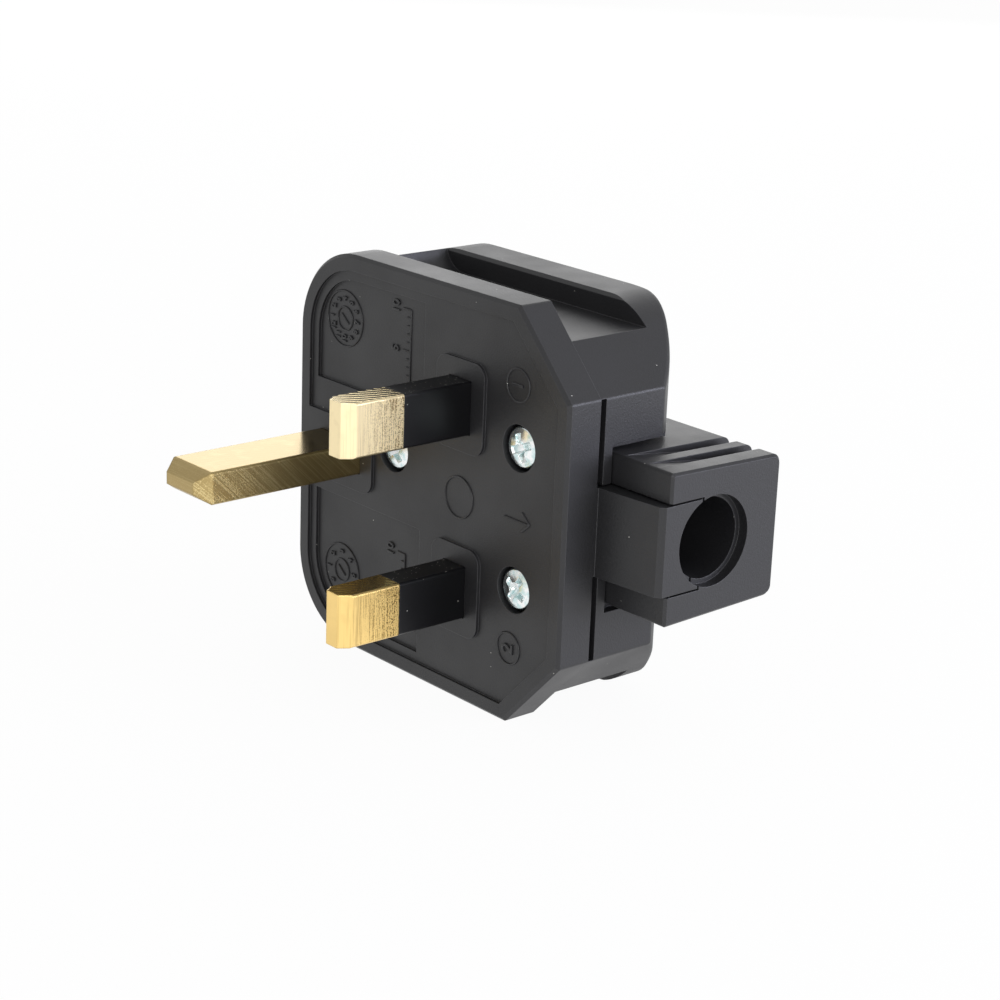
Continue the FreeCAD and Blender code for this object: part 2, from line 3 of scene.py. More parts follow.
import bmesh
import bpy
import numpy as np
from bpy.props import FloatProperty, FloatVectorProperty, PointerProperty
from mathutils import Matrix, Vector


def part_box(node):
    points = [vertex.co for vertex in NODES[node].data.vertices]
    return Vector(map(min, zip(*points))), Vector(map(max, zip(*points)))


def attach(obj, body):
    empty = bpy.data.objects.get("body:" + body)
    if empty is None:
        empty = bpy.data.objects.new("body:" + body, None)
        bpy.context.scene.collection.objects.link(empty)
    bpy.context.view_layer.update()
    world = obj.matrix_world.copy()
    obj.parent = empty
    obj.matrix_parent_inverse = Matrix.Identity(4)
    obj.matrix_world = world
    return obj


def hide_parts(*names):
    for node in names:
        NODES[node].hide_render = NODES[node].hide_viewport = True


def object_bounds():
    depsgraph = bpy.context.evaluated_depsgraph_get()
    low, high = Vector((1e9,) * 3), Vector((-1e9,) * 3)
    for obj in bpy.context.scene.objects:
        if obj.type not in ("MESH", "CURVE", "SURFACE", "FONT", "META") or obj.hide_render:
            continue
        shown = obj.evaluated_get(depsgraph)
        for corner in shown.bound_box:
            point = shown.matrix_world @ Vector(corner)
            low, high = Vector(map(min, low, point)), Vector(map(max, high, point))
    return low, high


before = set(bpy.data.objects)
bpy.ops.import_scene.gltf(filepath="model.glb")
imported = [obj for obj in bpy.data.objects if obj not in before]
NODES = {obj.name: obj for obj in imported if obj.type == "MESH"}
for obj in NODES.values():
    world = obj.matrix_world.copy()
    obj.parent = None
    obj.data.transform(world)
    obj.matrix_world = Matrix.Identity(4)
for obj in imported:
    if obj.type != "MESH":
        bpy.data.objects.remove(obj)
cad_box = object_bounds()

bl_info = {
    "name": "Three-pin mains plug",
    "version": (1, 0, 0),
    "blender": (4, 5, 0),
    "location": "View3D > Sidebar > Plug",
    "description": "Finishes a mains plug: moulded body, brass pins, plated screws, raised marks and stage",
    "category": "Object",
}

MM = 0.001
BODY = "root"

# The sockets of a Mix node share their names, so they go by number: the share, the two numbers or the two
# colours that go in, and the colour that comes out.
SHARE, NUMBER_A, NUMBER_B, COLOUR_A, COLOUR_B = 0, 2, 3, 6, 7
MIXED_COLOUR = 2
# Most values of a Noise texture lie between these two.
NOISE_LOW, NOISE_HIGH = 0.3, 0.7


def linear(colour):
    """Linear RGBA of an sRGB hex colour."""
    values = np.array([int(colour[at:at + 2], 16) / 255 for at in (1, 3, 5)])
    low = values / 12.92
    high = ((values + 0.055) / 1.055) ** 2.4
    return (*np.where(values <= 0.04045, low, high).tolist(), 1.0)


WHITE = linear("#ffffff")


class PlugFinish(bpy.types.PropertyGroup):
    """Colours of the plug's materials."""

    moulding: FloatVectorProperty(
        name="Moulding",
        description="Black urea moulding",
        default=linear("#202022"),
        subtype="COLOR",
        size=4,
    )
    # Painted highlight: a paler moulding colour laid along the edges, where light catches them.
    moulding_edge: FloatVectorProperty(
        name="Painted edge highlight",
        description="Moulding paled along its edges by a painted highlight",
        default=linear("#3a3a3d"),
        subtype="COLOR",
        size=4,
    )
    dust: FloatVectorProperty(
        name="Dust",
        description="Lint and dust specks",
        default=linear("#d8d6cf"),
        subtype="COLOR",
        size=4,
    )
    sleeve: FloatVectorProperty(
        name="Sleeve",
        description="Nylon sleeve of the live pins",
        default=linear("#0a0a0d"),
        subtype="COLOR",
        size=4,
    )
    neutral_brass: FloatVectorProperty(
        name="Neutral brass",
        description="Pale brass of the neutral pin",
        default=linear("#fdebbe"),
        subtype="COLOR",
        size=4,
    )
    line_brass: FloatVectorProperty(
        name="Line brass",
        description="Golden brass of the line pin",
        default=linear("#fcda8e"),
        subtype="COLOR",
        size=4,
    )
    # Partly painted shade: this dark brass darkens the hollows of the cutter lines and saw arcs, and also
    # colours stains and dashes.
    brass_dull: FloatVectorProperty(
        name="Dull brass and groove shade",
        description="Dark brass of stains and dashes, and painted shade in the hollows of the cutter lines",
        default=linear("#7c5c2a"),
        subtype="COLOR",
        size=4,
    )
    earth_brass: FloatVectorProperty(
        name="Earth brass",
        description="Handled brass of the earth pin",
        default=linear("#b09a68"),
        subtype="COLOR",
        size=4,
    )
    earth_scratch: FloatVectorProperty(
        name="Earth scratches",
        description="Bright scratches on the earth pin",
        default=linear("#ecdaa4"),
        subtype="COLOR",
        size=4,
    )
    zinc: FloatVectorProperty(
        name="Zinc",
        description="Bright zinc plate",
        default=linear("#fafcfc"),
        subtype="COLOR",
        size=4,
    )
    zinc_blue: FloatVectorProperty(
        name="Blue zinc",
        description="Passivated tint of the zinc plate",
        default=linear("#d2e8e9"),
        subtype="COLOR",
        size=4,
    )
    ceramic: FloatVectorProperty(
        name="Ceramic",
        description="Fuse tube",
        default=linear("#e4ded0"),
        subtype="COLOR",
        size=4,
    )
    nickel: FloatVectorProperty(
        name="Nickel",
        description="Plated fuse caps",
        default=linear("#d3cdc2"),
        subtype="COLOR",
        size=4,
    )
    bronze: FloatVectorProperty(
        name="Bronze",
        description="Spring clips",
        default=linear("#c9965a"),
        subtype="COLOR",
        size=4,
    )
    fibre: FloatVectorProperty(
        name="Fibre",
        description="Vulcanised fibre washer",
        default=linear("#7c3a2c"),
        subtype="COLOR",
        size=4,
    )


class PlugScrews(bpy.types.PropertyGroup):
    """Shape of the three plated screws in the pin face."""

    crown: FloatProperty(
        name="Crown",
        description="Rise of the head's middle over its rim",
        default=0.42 * MM,
        unit="LENGTH",
    )
    sink: FloatProperty(
        name="Sink",
        description="Depth of the crown under its CAD place",
        default=0.22 * MM,
        unit="LENGTH",
    )
    side_gap: FloatProperty(
        name="Side gap",
        description="Ring left free round the head",
        default=0.13 * MM,
        unit="LENGTH",
    )
    rim_radius: FloatProperty(
        name="Rim radius",
        description="Rounding of the head's edge",
        default=0.4 * MM,
        unit="LENGTH",
    )
    head_height: FloatProperty(
        name="Head height",
        description="From the crown to the seat",
        default=1.75 * MM,
        unit="LENGTH",
    )
    shank_radius: FloatProperty(
        name="Shank radius",
        description="Plain shank under the head",
        default=1.5 * MM,
        unit="LENGTH",
    )
    wing_length: FloatProperty(
        name="Wing length",
        description="Reach of each wing of the cross recess",
        default=1.65 * MM,
        unit="LENGTH",
    )
    wing_width: FloatProperty(
        name="Wing width",
        description="Width of each wing",
        default=0.72 * MM,
        unit="LENGTH",
    )
    recess_depth: FloatProperty(
        name="Recess depth",
        description="Depth of the cross recess",
        default=1.1 * MM,
        unit="LENGTH",
    )
    core_radius: FloatProperty(
        name="Core radius",
        description="Round pit in the middle of the recess",
        default=0.85 * MM,
        unit="LENGTH",
    )


class PlugMarks(bpy.types.PropertyGroup):
    """Raised marks on the pin face."""

    height: FloatProperty(
        name="Relief",
        description="How far the marks stand up",
        default=0.17 * MM,
        unit="LENGTH",
    )
    number_size: FloatProperty(
        name="Numbers",
        description="Height of the numbers",
        default=1.3 * MM,
        unit="LENGTH",
    )
    dial_radius: FloatProperty(
        name="Dial radius",
        description="Rim of a dial",
        default=3.4 * MM,
        unit="LENGTH",
    )
    ring_radius: FloatProperty(
        name="Ring radius",
        description="Ring round a number",
        default=1.9 * MM,
        unit="LENGTH",
    )
    gauge_step: FloatProperty(
        name="Gauge step",
        description="From tick to tick",
        default=1.0 * MM,
        unit="LENGTH",
    )
    ridge: FloatProperty(
        name="Ridge",
        description="Half width of a raised line",
        default=0.12 * MM,
        unit="LENGTH",
    )


class PlugStage(bpy.types.PropertyGroup):
    """Floor, light and camera."""

    floor_size: FloatProperty(
        name="Floor",
        description="Side of the square floor",
        default=6.0,
        unit="LENGTH",
    )
    floor_colour: FloatVectorProperty(
        name="Floor colour",
        description="Matt white of the floor",
        default=linear("#f2f2f2"),
        subtype="COLOR",
        size=4,
    )
    floor_share: FloatProperty(
        name="Floor glow",
        description="Share of the floor that no shadow dims",
        default=0.95,
        min=0.0,
        max=1.0,
        subtype="FACTOR",
    )
    sky_level: FloatProperty(
        name="Surroundings",
        description="Radiance of the white surroundings",
        default=0.7,
    )
    back_level: FloatProperty(
        name="Back softbox",
        description="Radiance of the softbox behind the earth end",
        default=1.05,
    )
    back_size: FloatProperty(
        name="Back softbox size",
        description="Side of the softbox behind the earth end",
        default=0.5,
        unit="LENGTH",
    )
    back_place: FloatVectorProperty(
        name="Back softbox place",
        description="Place of the softbox behind the earth end",
        default=(-0.47, 0.42, 0.24),
        subtype="TRANSLATION",
    )
    side_level: FloatProperty(
        name="Side softbox",
        description="Radiance of the softbox behind the outlet",
        default=5.0,
    )
    side_size: FloatProperty(
        name="Side softbox size",
        description="Side of the softbox behind the outlet",
        default=0.45,
        unit="LENGTH",
    )
    side_place: FloatVectorProperty(
        name="Side softbox place",
        description="Place of the softbox behind the outlet",
        default=(0.52, 0.32, 0.07),
        subtype="TRANSLATION",
    )
    side_tint: FloatVectorProperty(
        name="Side softbox tint",
        description="Cool tint of the softbox behind the outlet",
        default=linear("#e9ebff"),
        subtype="COLOR",
        size=4,
    )
    fill_level: FloatProperty(
        name="Fill softbox",
        description="Radiance of the softbox before the outlet",
        default=2.9,
    )
    fill_size: FloatProperty(
        name="Fill softbox size",
        description="Side of the softbox before the outlet",
        default=0.4,
        unit="LENGTH",
    )
    fill_place: FloatVectorProperty(
        name="Fill softbox place",
        description="Place of the softbox before the outlet",
        default=(0.6, -0.27, 0.08),
        subtype="TRANSLATION",
    )
    lens: FloatProperty(
        name="Lens",
        description="Focal length in millimetres",
        default=86.93215,
        unit="CAMERA",
    )
    sensor: FloatProperty(
        name="Sensor",
        description="Width of the sensor in millimetres",
        default=36.0,
        unit="CAMERA",
    )
    camera_place: FloatVectorProperty(
        name="Camera",
        description="Place of the camera",
        default=(0.20212448, -0.17095549, 0.08609876),
        subtype="TRANSLATION",
    )
    camera_turn: FloatVectorProperty(
        name="Camera turn",
        description="Turn of the camera",
        default=tuple(math.radians(angle) for angle in (71.95394609, -2.0966577, 49.3657938)),
        subtype="EULER",
    )


def add_node(tree, kind, inputs=None, **settings):
    """Add a node with its settings; inputs maps a socket's name or number to a value or a linked output."""
    node = tree.nodes.new(kind)
    for name, value in settings.items():
        setattr(node, name, value)
    for key, value in (inputs or {}).items():
        if isinstance(value, bpy.types.NodeSocket):
            tree.links.new(value, node.inputs[key])
        else:
            node.inputs[key].default_value = value
    return node


def new_material(name):
    """Empty node material: returns it with its tree and its texture coordinates."""
    material = bpy.data.materials.new(name)
    material.use_nodes = True
    tree = material.node_tree
    tree.nodes.clear()
    return material, tree, add_node(tree, "ShaderNodeTexCoord")


def dust_mask(tree, place, spacing, size, share):
    """Round specks: one in each Voronoi cell, kept where the cell's random value falls in the share."""
    cells = add_node(
        tree,
        "ShaderNodeTexVoronoi",
        {"Vector": place.outputs["Object"], "Scale": 1 / spacing, "Randomness": 1.0},
    )
    inside = add_node(
        tree, "ShaderNodeMath", {0: cells.outputs["Distance"], 1: size / spacing}, operation="LESS_THAN"
    )
    chance = add_node(tree, "ShaderNodeSeparateColor", {"Color": cells.outputs["Color"]})
    kept = add_node(tree, "ShaderNodeMath", {0: chance.outputs["Red"], 1: share}, operation="LESS_THAN")
    specks = add_node(
        tree, "ShaderNodeMath", {0: inside.outputs[0], 1: kept.outputs[0]}, operation="MULTIPLY"
    )
    return specks.outputs[0]


def edge_mask(tree, rounded):
    """Share by which the rounded normal leaves the true one: high along outer and inner edges, where the
    moulding takes its painted edge highlight.
    """
    full_cosine = 0.9
    true = add_node(tree, "ShaderNodeNewGeometry")
    along = add_node(
        tree,
        "ShaderNodeVectorMath",
        {0: rounded.outputs["Normal"], 1: true.outputs["Normal"]},
        operation="DOT_PRODUCT",
    )
    turned = add_node(
        tree,
        "ShaderNodeMapRange",
        {"Value": along.outputs["Value"], "From Min": 1.0, "From Max": full_cosine},
    )
    return turned.outputs["Result"]


def moulded_urea(finish):
    """Black urea resin from a spark-eroded mould: satin, faintly grained, its edges paled by a painted
    highlight.

    The grain and the stray dust are drawn coarser than they are, so that they show.
    """
    material, tree, place = new_material("moulded_black_urea")
    grain_width = 0.2 * MM
    grain_depth = 0.025 * MM
    cloud_width = 9.0 * MM
    edge_radius = 0.12 * MM
    satin, dull = 0.40, 0.52
    # Spacing of the places for a speck, the speck's radius, and the share of the places that hold one
    dust_layers = ((1.1 * MM, 0.055 * MM, 0.14), (4.0 * MM, 0.11 * MM, 0.3))
    rounded = add_node(tree, "ShaderNodeBevel", {"Radius": edge_radius}, samples=6)
    grain = add_node(
        tree,
        "ShaderNodeTexNoise",
        {"Vector": place.outputs["Object"], "Scale": 1 / grain_width, "Detail": 2.0},
    )
    cloud = add_node(
        tree,
        "ShaderNodeTexNoise",
        {"Vector": place.outputs["Object"], "Scale": 1 / cloud_width, "Detail": 3.0},
    )
    bump = add_node(
        tree,
        "ShaderNodeBump",
        {
            "Strength": 1.0,
            "Distance": grain_depth,
            "Height": grain.outputs["Fac"],
            "Normal": rounded.outputs["Normal"],
        },
    )
    gloss = add_node(
        tree,
        "ShaderNodeMapRange",
        {
            "Value": cloud.outputs["Fac"],
            "From Min": NOISE_LOW,
            "From Max": NOISE_HIGH,
            "To Min": satin,
            "To Max": dull,
        },
    )
    # Painted highlight: along outer and inner edges the moulding pales towards the edge highlight colour.
    colour = add_node(
        tree,
        "ShaderNodeMix",
        {SHARE: edge_mask(tree, rounded), COLOUR_A: finish.moulding, COLOUR_B: finish.moulding_edge},
        data_type="RGBA",
    )
    for spacing, size, share in dust_layers:
        specks = dust_mask(tree, place, spacing, size, share)
        colour = add_node(
            tree,
            "ShaderNodeMix",
            {SHARE: specks, COLOUR_A: colour.outputs[MIXED_COLOUR], COLOUR_B: finish.dust},
            data_type="RGBA",
        )
    shader = add_node(
        tree,
        "ShaderNodeBsdfPrincipled",
        {
            "Base Color": colour.outputs[MIXED_COLOUR],
            "Roughness": gloss.outputs["Result"],
            "IOR": 1.52,
            "Normal": bump.outputs["Normal"],
        },
    )
    add_node(tree, "ShaderNodeOutputMaterial", {"Surface": shader.outputs["BSDF"]})
    return material


def sleeve_nylon(finish):
    """Injection-moulded nylon sleeve: near black and glossy, with dust on its top.

    The specks are drawn larger than they are, so that they show.
    """
    material, tree, place = new_material("sleeve_black_nylon")
    wave_width = 2.2 * MM
    wave_depth = 0.05 * MM
    edge_radius = 0.25 * MM
    dust_spacing, dust_size = 0.4 * MM, 0.055 * MM
    dust_on_side, dust_on_top = 0.004, 0.5
    rounded = add_node(tree, "ShaderNodeBevel", {"Radius": edge_radius}, samples=6)
    wave = add_node(
        tree,
        "ShaderNodeTexNoise",
        {"Vector": place.outputs["Object"], "Scale": 1 / wave_width, "Detail": 2.0},
    )
    bump = add_node(
        tree,
        "ShaderNodeBump",
        {
            "Strength": 0.2,
            "Distance": wave_depth,
            "Height": wave.outputs["Fac"],
            "Normal": rounded.outputs["Normal"],
        },
    )
    facing = add_node(tree, "ShaderNodeSeparateXYZ", {"Vector": place.outputs["Normal"]})
    lying = add_node(
        tree,
        "ShaderNodeMapRange",
        {
            "Value": facing.outputs["Z"],
            "From Min": 0.2,
            "From Max": 0.8,
            "To Min": dust_on_side,
            "To Max": dust_on_top,
        },
    )
    specks = dust_mask(tree, place, dust_spacing, dust_size, lying.outputs["Result"])
    colour = add_node(
        tree,
        "ShaderNodeMix",
        {SHARE: specks, COLOUR_A: finish.sleeve, COLOUR_B: finish.dust},
        data_type="RGBA",
    )
    shader = add_node(
        tree,
        "ShaderNodeBsdfPrincipled",
        {
            "Base Color": colour.outputs[MIXED_COLOUR],
            "Roughness": 0.33,
            "IOR": 1.45,
            "Normal": bump.outputs["Normal"],
        },
    )
    add_node(tree, "ShaderNodeOutputMaterial", {"Surface": shader.outputs["BSDF"]})
    return material


def milled_brass(
    name, ground, mark, edge_radius, slant, line_width, line_depth, worn_from, worn_to, arc_depth
):
    """Brass bar cut by a milling wheel: bright, with parallel cutter lines that spread its reflection.

    The lines on the broad side lie along Z, turned by the slant. From one place along Y to another they
    deepen and break up into dashes. On the top a saw has left arcs, shallow grooves that carry only a small
    share of the colour. Lines, dashes, arcs and stains pull the colour towards the mark colour; where that is
    a dark brass, the darkened lines and arcs are painted shade in their hollows. Lines, dashes and arcs are
    drawn coarser than real ones, so that they show.
    """
    material, tree, place = new_material(name)
    line_stretch = (100.0, 1.0, 60.0)
    dash_width = 0.16 * MM
    arc_width = 0.8 * MM
    from_arc_centre = (-9.0 * MM, 23.0 * MM, 0.0)
    # The period of a Wave texture at a scale of 1
    wave_period = 0.314
    stain_width = 1.6 * MM
    stain_share = 0.12
    side_groove, top_groove = 0.02 * MM, 0.028 * MM
    side_gloss, top_gloss = 0.37, 0.19
    top_colour_share = 0.25
    rounded = add_node(tree, "ShaderNodeBevel", {"Radius": edge_radius}, samples=6)
    turned = add_node(
        tree,
        "ShaderNodeMapping",
        {"Vector": place.outputs["Object"], "Rotation": (slant, 0, 0), "Scale": line_stretch},
        vector_type="TEXTURE",
    )
    lines = add_node(
        tree,
        "ShaderNodeTexNoise",
        {"Vector": turned.outputs[0], "Scale": 1 / line_width, "Detail": 1.0, "Roughness": 0.5},
    )
    breaks = add_node(
        tree,
        "ShaderNodeTexNoise",
        {"Vector": place.outputs["Object"], "Scale": 1 / dash_width, "Detail": 1.0},
    )
    spot = add_node(tree, "ShaderNodeSeparateXYZ", {"Vector": place.outputs["Object"]})
    worn = add_node(
        tree, "ShaderNodeMapRange", {"Value": spot.outputs["Y"], "From Min": worn_from, "From Max": worn_to}
    )
    # A line lies where the noise falls under its middle value.
    fine = add_node(
        tree,
        "ShaderNodeMapRange",
        {"Value": lines.outputs["Fac"], "From Min": 0.52, "From Max": 0.36, "To Max": line_depth},
    )
    # A dash lies where the lines and a rounder noise are low together.
    both = add_node(
        tree, "ShaderNodeMath", {0: lines.outputs["Fac"], 1: breaks.outputs["Fac"]}, operation="ADD"
    )
    dashes = add_node(
        tree, "ShaderNodeMapRange", {"Value": both.outputs[0], "From Min": 1.0, "From Max": 0.86}
    )
    side = add_node(
        tree,
        "ShaderNodeMix",
        {SHARE: worn.outputs[0], NUMBER_A: fine.outputs[0], NUMBER_B: dashes.outputs[0]},
    )
    saw = add_node(
        tree, "ShaderNodeMapping", {"Vector": place.outputs["Object"], "Location": from_arc_centre}
    )
    arcs = add_node(
        tree,
        "ShaderNodeTexWave",
        {
            "Vector": saw.outputs[0],
            "Scale": wave_period / arc_width,
            "Distortion": 1.0,
            "Detail": 2.0,
            "Detail Scale": 1.0,
        },
        wave_type="RINGS",
        rings_direction="Z",
    )
    # Only the low half of the wave is a groove.
    top = add_node(
        tree,
        "ShaderNodeMapRange",
        {"Value": arcs.outputs["Fac"], "From Min": 0.5, "From Max": 0.0, "To Max": arc_depth},
    )
    facing = add_node(tree, "ShaderNodeSeparateXYZ", {"Vector": place.outputs["Normal"]})
    upward = add_node(tree, "ShaderNodeMath", {0: facing.outputs["Z"]}, operation="ABSOLUTE")
    on_top = add_node(tree, "ShaderNodeMath", {0: upward.outputs[0], 1: 0.85}, operation="GREATER_THAN")
    sideways = add_node(tree, "ShaderNodeMath", {0: facing.outputs["X"]}, operation="ABSOLUTE")
    on_side = add_node(
        tree,
        "ShaderNodeMapRange",
        {"Value": sideways.outputs[0], "From Min": 0.75, "From Max": 0.95, "To Min": 0.2},
    )
    milled = add_node(
        tree, "ShaderNodeMath", {0: side.outputs[0], 1: on_side.outputs[0]}, operation="MULTIPLY"
    )
    cut = add_node(
        tree,
        "ShaderNodeMix",
        {SHARE: on_top.outputs[0], NUMBER_A: milled.outputs[0], NUMBER_B: top.outputs[0]},
    )
    stain = add_node(
        tree,
        "ShaderNodeTexNoise",
        {"Vector": place.outputs["Object"], "Scale": 1 / stain_width, "Detail": 4.0},
    )
    cloudy = add_node(
        tree,
        "ShaderNodeMapRange",
        {"Value": stain.outputs["Fac"], "From Min": 0.5, "From Max": 0.75, "To Max": stain_share},
    )
    # Painted shade on the top: the saw arcs keep only this share of their darkening in the colour.
    tint = add_node(
        tree, "ShaderNodeMapRange", {"Value": on_top.outputs[0], "To Min": 1.0, "To Max": top_colour_share}
    )
    tinted = add_node(tree, "ShaderNodeMath", {0: cut.outputs[0], 1: tint.outputs[0]}, operation="MULTIPLY")
    shade = add_node(
        tree, "ShaderNodeMath", {0: tinted.outputs[0], 1: cloudy.outputs[0]}, operation="MAXIMUM"
    )
    # Painted shade in part: with a dark mark colour the cutter lines and saw arcs are darkened in their
    # hollows; stains and dashes take the same colour.
    colour = add_node(
        tree, "ShaderNodeMix", {SHARE: shade.outputs[0], COLOUR_A: ground, COLOUR_B: mark}, data_type="RGBA"
    )
    gloss = add_node(
        tree, "ShaderNodeMapRange", {"Value": on_top.outputs[0], "To Min": side_gloss, "To Max": top_gloss}
    )
    groove = add_node(
        tree,
        "ShaderNodeMapRange",
        {"Value": on_top.outputs[0], "To Min": side_groove, "To Max": top_groove},
    )
    bump = add_node(
        tree,
        "ShaderNodeBump",
        {
            "Strength": 1.0,
            "Distance": groove.outputs[0],
            "Height": cut.outputs[0],
            "Normal": rounded.outputs["Normal"],
        },
        invert=True,
    )
    shader = add_node(
        tree,
        "ShaderNodeBsdfPrincipled",
        {
            "Base Color": colour.outputs[MIXED_COLOUR],
            "Metallic": 1.0,
            "Roughness": gloss.outputs["Result"],
            "Normal": bump.outputs["Normal"],
        },
    )
    add_node(tree, "ShaderNodeOutputMaterial", {"Surface": shader.outputs["BSDF"]})
    return material


def plated_zinc(finish):
    """Bright zinc plate on pressed steel: silvery and lightly pitted, with a pale blue passivated cloud."""
    material, tree, place = new_material("bright_zinc_plate")
    cloud_width = 0.9 * MM
    pit_width = 0.22 * MM
    pit_depth = 0.03 * MM
    edge_radius = 0.06 * MM
    rounded = add_node(tree, "ShaderNodeBevel", {"Radius": edge_radius}, samples=4)
    cloud = add_node(
        tree,
        "ShaderNodeTexNoise",
        {"Vector": place.outputs["Object"], "Scale": 1 / cloud_width, "Detail": 3.0},
    )
    blue = add_node(
        tree, "ShaderNodeMapRange", {"Value": cloud.outputs["Fac"], "From Min": 0.42, "From Max": 0.62}
    )
    pit = add_node(
        tree,
        "ShaderNodeTexNoise",
        {"Vector": place.outputs["Object"], "Scale": 1 / pit_width, "Detail": 2.0},
    )
    bump = add_node(
        tree,
        "ShaderNodeBump",
        {
            "Strength": 0.25,
            "Distance": pit_depth,
            "Height": pit.outputs["Fac"],
            "Normal": rounded.outputs["Normal"],
        },
    )
    colour = add_node(
        tree,
        "ShaderNodeMix",
        {SHARE: blue.outputs[0], COLOUR_A: finish.zinc, COLOUR_B: finish.zinc_blue},
        data_type="RGBA",
    )
    shader = add_node(
        tree,
        "ShaderNodeBsdfPrincipled",
        {
            "Base Color": colour.outputs[MIXED_COLOUR],
            "Metallic": 1.0,
            "Roughness": 0.24,
            "Normal": bump.outputs["Normal"],
        },
    )
    add_node(tree, "ShaderNodeOutputMaterial", {"Surface": shader.outputs["BSDF"]})
    return material


def plain_metal(name, colour, roughness):
    """Pressed or drawn metal inside the body: its gloss varies in small patches, as handling leaves it."""
    material, tree, place = new_material(name)
    patch_width = 0.3 * MM
    gloss_spread = 0.06
    patches = add_node(
        tree,
        "ShaderNodeTexNoise",
        {"Vector": place.outputs["Object"], "Scale": 1 / patch_width, "Detail": 2.0},
    )
    gloss = add_node(
        tree,
        "ShaderNodeMapRange",
        {
            "Value": patches.outputs["Fac"],
            "From Min": NOISE_LOW,
            "From Max": NOISE_HIGH,
            "To Min": roughness - gloss_spread,
            "To Max": roughness + gloss_spread,
        },
    )
    shader = add_node(
        tree,
        "ShaderNodeBsdfPrincipled",
        {"Base Color": colour, "Metallic": 1.0, "Roughness": gloss.outputs["Result"]},
    )
    add_node(tree, "ShaderNodeOutputMaterial", {"Surface": shader.outputs["BSDF"]})
    return material


def plain_filler(name, colour, roughness):
    """Fired or pressed non-metal inside the body: matt, with a faint mottle in its colour."""
    material, tree, place = new_material(name)
    mottle_width = 0.8 * MM
    mottle_share = 0.2
    deep_level = 0.6
    deep = (*(deep_level * value for value in colour[:3]), 1.0)
    mottle = add_node(
        tree,
        "ShaderNodeTexNoise",
        {"Vector": place.outputs["Object"], "Scale": 1 / mottle_width, "Detail": 3.0},
    )
    shade = add_node(
        tree,
        "ShaderNodeMapRange",
        {
            "Value": mottle.outputs["Fac"],
            "From Min": NOISE_LOW,
            "From Max": NOISE_HIGH,
            "To Max": mottle_share,
        },
    )
    mottled = add_node(
        tree, "ShaderNodeMix", {SHARE: shade.outputs[0], COLOUR_A: colour, COLOUR_B: deep}, data_type="RGBA"
    )
    shader = add_node(
        tree,
        "ShaderNodeBsdfPrincipled",
        {"Base Color": mottled.outputs[MIXED_COLOUR], "Roughness": roughness},
    )
    add_node(tree, "ShaderNodeOutputMaterial", {"Surface": shader.outputs["BSDF"]})
    return material


def dress(material, *names):
    """Give CAD nodes a material."""
    for name in names:
        NODES[name].data.materials.clear()
        NODES[name].data.materials.append(material)


def surface_mesh(name, rings):
    """Closed mesh from a grid of rings (rings, points, XYZ): quads between rings and a fan at each end."""
    rows, columns = rings.shape[:2]
    index = np.arange(rows * columns).reshape(rows, columns)
    after = np.roll(index, -1, axis=1)
    quads = np.stack([index[:-1], index[1:], after[1:], after[:-1]], axis=-1).reshape(-1, 4)
    poles = np.array([rows * columns, rows * columns + 1])
    first = np.stack([np.full(columns, poles[0]), index[0], after[0]], axis=-1)
    last = np.stack([np.full(columns, poles[1]), after[-1], index[-1]], axis=-1)
    points = np.concatenate([rings.reshape(-1, 3), [rings[0].mean(axis=0)], [rings[-1].mean(axis=0)]])
    mesh = bpy.data.meshes.new(name)
    mesh.from_pydata(points.tolist(), [], quads.tolist() + first.tolist() + last.tolist())
    return mesh


def loop_mesh(name, grid):
    """Closed mesh from a grid that joins up both ways."""
    rows, columns = grid.shape[:2]
    index = np.arange(rows * columns).reshape(rows, columns)
    down = np.roll(index, -1, axis=0)
    across = np.roll(index, -1, axis=1)
    both = np.roll(down, -1, axis=1)
    quads = np.stack([index, down, both, across], axis=-1).reshape(-1, 4)
    mesh = bpy.data.meshes.new(name)
    mesh.from_pydata(grid.reshape(-1, 3).tolist(), [], quads.tolist())
    return mesh


def join_meshes(name, meshes):
    """One mesh from several."""
    work = bmesh.new()
    for mesh in meshes:
        work.from_mesh(mesh)
    joined = bpy.data.meshes.new(name)
    work.to_mesh(joined)
    work.free()
    return joined


def face_outwards(mesh):
    """Merge doubled points and turn every face of a closed mesh outwards."""
    work = bmesh.new()
    work.from_mesh(mesh)
    bmesh.ops.remove_doubles(work, verts=work.verts, dist=1e-7)
    bmesh.ops.recalc_face_normals(work, faces=work.faces)
    work.to_mesh(mesh)
    work.free()


def add_piece(name, mesh, material, smooth_angle):
    """Put a finished mesh into the scene as a piece that rides on the plug's body."""
    face_outwards(mesh)
    mesh.materials.append(material)
    mesh.shade_smooth()
    mesh.set_sharp_from_angle(angle=smooth_angle)
    piece = bpy.data.objects.new(name, mesh)
    bpy.context.scene.collection.objects.link(piece)
    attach(piece, BODY)
    return piece


